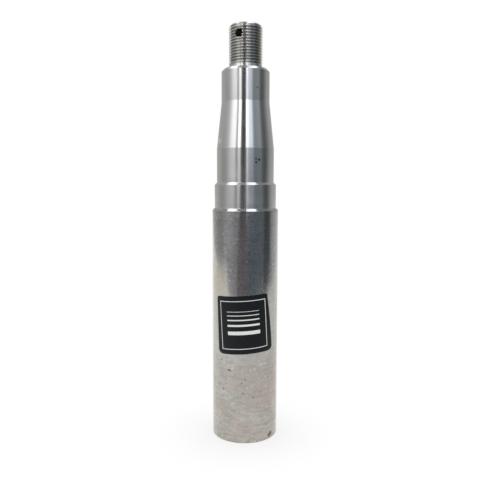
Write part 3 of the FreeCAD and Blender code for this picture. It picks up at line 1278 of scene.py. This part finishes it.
world = bpy.data.worlds.new("studio")
world.use_nodes = True
world.node_tree.nodes.clear()
towards = Field(world.node_tree).node("TexCoord", {}, {}, "Generated")
position = turn_from(towards, CAMERA_TURN) * (0.5 / math.pi) + 0.5
rise = part_of(towards, "Z")
gains = [((math.sin(math.radians(angle)) + 1) / 2, gain) for angle, gain in BRIGHTENING]
gain = part_of(rise.node("ValToRGB", {"stops": gains}, {0: 0.5 * rise + 0.5}), "X")
windows = towards.node(
    "VectorMath", {"operation": "SCALE"},
    {0: read_ring(WINDOWS), "Scale": WINDOW_STRENGTH * gain},
)
walls = blend(step(rise, *LOWER_WALL_TOP), read_ring(LOWER_WALLS), read_ring(WALLS))
room = towards.node("VectorMath", {"operation": "ADD"}, {0: walls, 1: windows})
room = blend(step(rise, *UPPER_WALL_FOOT), room, read_ring(UPPER_WALLS))
room = blend(step(rise, *CEILING_EDGE), room, CEILING_COLOR)
print("its windows are up to", WINDOW_STRENGTH, "times as bright as their colours")

# %% Who sees the room, and who sees white
SOFT_LIGHT = 0.86
WHITE = 1


def ray(field, name):
    """Return 1 for one kind of ray and 0 for the others."""
    return field.node("LightPath", {}, {}, name)


seen = ray(room, "Is Camera Ray") + ray(room, "Is Transmission Ray")
sky = blend(ray(room, "Is Glossy Ray"), blend(seen, SOFT_LIGHT, WHITE), room)
output = world.node_tree.nodes.new("ShaderNodeOutputWorld")
feed(output, "Surface", room.node("Background", {}, {"Color": sky, "Strength": 1.0}))
bpy.context.scene.world = world
bpy.context.scene.view_settings.view_transform = "Standard"
print("soft light falls on the bar with a strength of", SOFT_LIGHT)

# %% [markdown]
# ## Lamps and floor
#
# Two long glowing panels hang under the ceiling, to the left and the right of the bar. The small
# cones between the journals mirror them as white dashes. The floor is a pale table top: the lower
# shank mirrors it, so its edges decide where on the steel the bright reflection begins.
# Its front right corner is cut off and its far left corner pulled out for that. To the camera it
# fades into white, and the steel sees it glow, a little brighter on the left than on the right.

# %% Planes that stand square to the camera


def lay_plane(name, size, middle):
    """Add a plane in edit mode. Its middle is given as metres right, back and up."""
    start_clean()
    bpy.ops.mesh.primitive_plane_add(size=1, location=(0, 0, 0))
    plane = name_new(name)
    bpy.ops.object.mode_set(mode="EDIT")
    bpy.ops.transform.resize(value=(*size, 1), center_override=(0, 0, 0))
    bpy.ops.transform.translate(value=middle)
    return plane


def face_camera():
    """Turn the plane in edit mode to the camera, and leave edit mode."""
    bpy.ops.mesh.select_all(action="SELECT")
    bpy.ops.transform.rotate(value=-CAMERA_TURN, orient_axis="Z", center_override=(0, 0, 0))
    start_clean()


# %% Ceiling lamps
CEILING = 1.3
LAMP_SIZE = (0.38, 0.80)
LAMP_STRENGTH = 2.6


def hang_lamp(name, right, back):
    """Hang a long glowing panel under the ceiling, to the right of the bar and behind it."""
    lamp = lay_plane(name, LAMP_SIZE, (right, back, CEILING))
    face_camera()
    material, shader, place = start_material(name)
    feed(shader, "Base Color", solid(0))
    feed(shader, "Emission Color", solid(WHITE))
    feed(shader, "Emission Strength", LAMP_STRENGTH)
    lamp.data.materials.append(material)
    lamp.visible_camera = False


hang_lamp("left_ceiling_lamp", right=-0.50, back=0.35)
hang_lamp("right_ceiling_lamp", right=0.24, back=0.25)
print("the lamps are", LAMP_SIZE[1], "m long and hang", CEILING, "m up")

# %% The table's shape
TABLE_LEFT = 0.8
TABLE_RIGHT = 0.62
TABLE_FRONT = 0.30
TABLE_BACK = 3.0
FRONT_CORNER_CUT = 0.30
FAR_CORNER_PULL = 0.30

table = lay_plane(
    "table",
    (TABLE_LEFT + TABLE_RIGHT, TABLE_FRONT + TABLE_BACK),
    ((TABLE_RIGHT - TABLE_LEFT) / 2, (TABLE_BACK - TABLE_FRONT) / 2, 0),
)
select_where(table, "VERT", lambda corner: corner.co.x < 0 < corner.co.y)
bpy.ops.transform.translate(value=(-FAR_CORNER_PULL, 0, 0))
select_where(table, "VERT", lambda corner: corner.co.x > 0 > corner.co.y)
bpy.ops.mesh.bevel(offset=FRONT_CORNER_CUT, affect="VERTICES")
face_camera()
print("the table ends", TABLE_FRONT, "m in front of the bar and", TABLE_RIGHT, "m to its right")

# %% The table's white, as the camera and the steel see it
TABLE_COLOR = 0.93
GLOW_LEFT = (1.10, 1.08, 1.03)
GLOW_RIGHT = (0.95, 0.92, 0.87)
GLOW_CHANGE = 0.25
MIRRORED_GLOW = 0.9
NEAR_WHITE = 0.75
WHITE_FADE = (0.024, 0.07)

table_paint, shader, place = start_material("table_paint")
feed(shader, "Base Color", solid(TABLE_COLOR))
feed(shader, "Roughness", 0.7)
aside = part_of(place, "X") * math.cos(CAMERA_TURN) + part_of(place, "Y") * math.sin(CAMERA_TURN)
whiteness = NEAR_WHITE + (1 - NEAR_WHITE) * step(length(place), *WHITE_FADE)
camera_ray = ray(place, "Is Camera Ray")
fade = camera_ray * whiteness + ray(place, "Is Glossy Ray") * MIRRORED_GLOW
white, left_glow, right_glow = (
    place.node("Emission", {}, {"Color": solid(color), "Strength": 1.0})
    for color in (WHITE, GLOW_LEFT, GLOW_RIGHT)
)
rightness = step(aside, -GLOW_CHANGE, GLOW_CHANGE)
glow = place.node("MixShader", {}, {0: rightness, 1: left_glow, 2: right_glow})
glow = place.node("MixShader", {}, {0: camera_ray, 1: glow, 2: white})
paint = Field(place.tree, shader.outputs["BSDF"])
surface = place.node("MixShader", {}, {0: fade, 1: paint, 2: glow})
feed(table_paint.node_tree.nodes["Material Output"], "Surface", surface)
table.data.materials.append(table_paint)
print("to the camera the table is plain white from", WHITE_FADE[1], "m outwards")
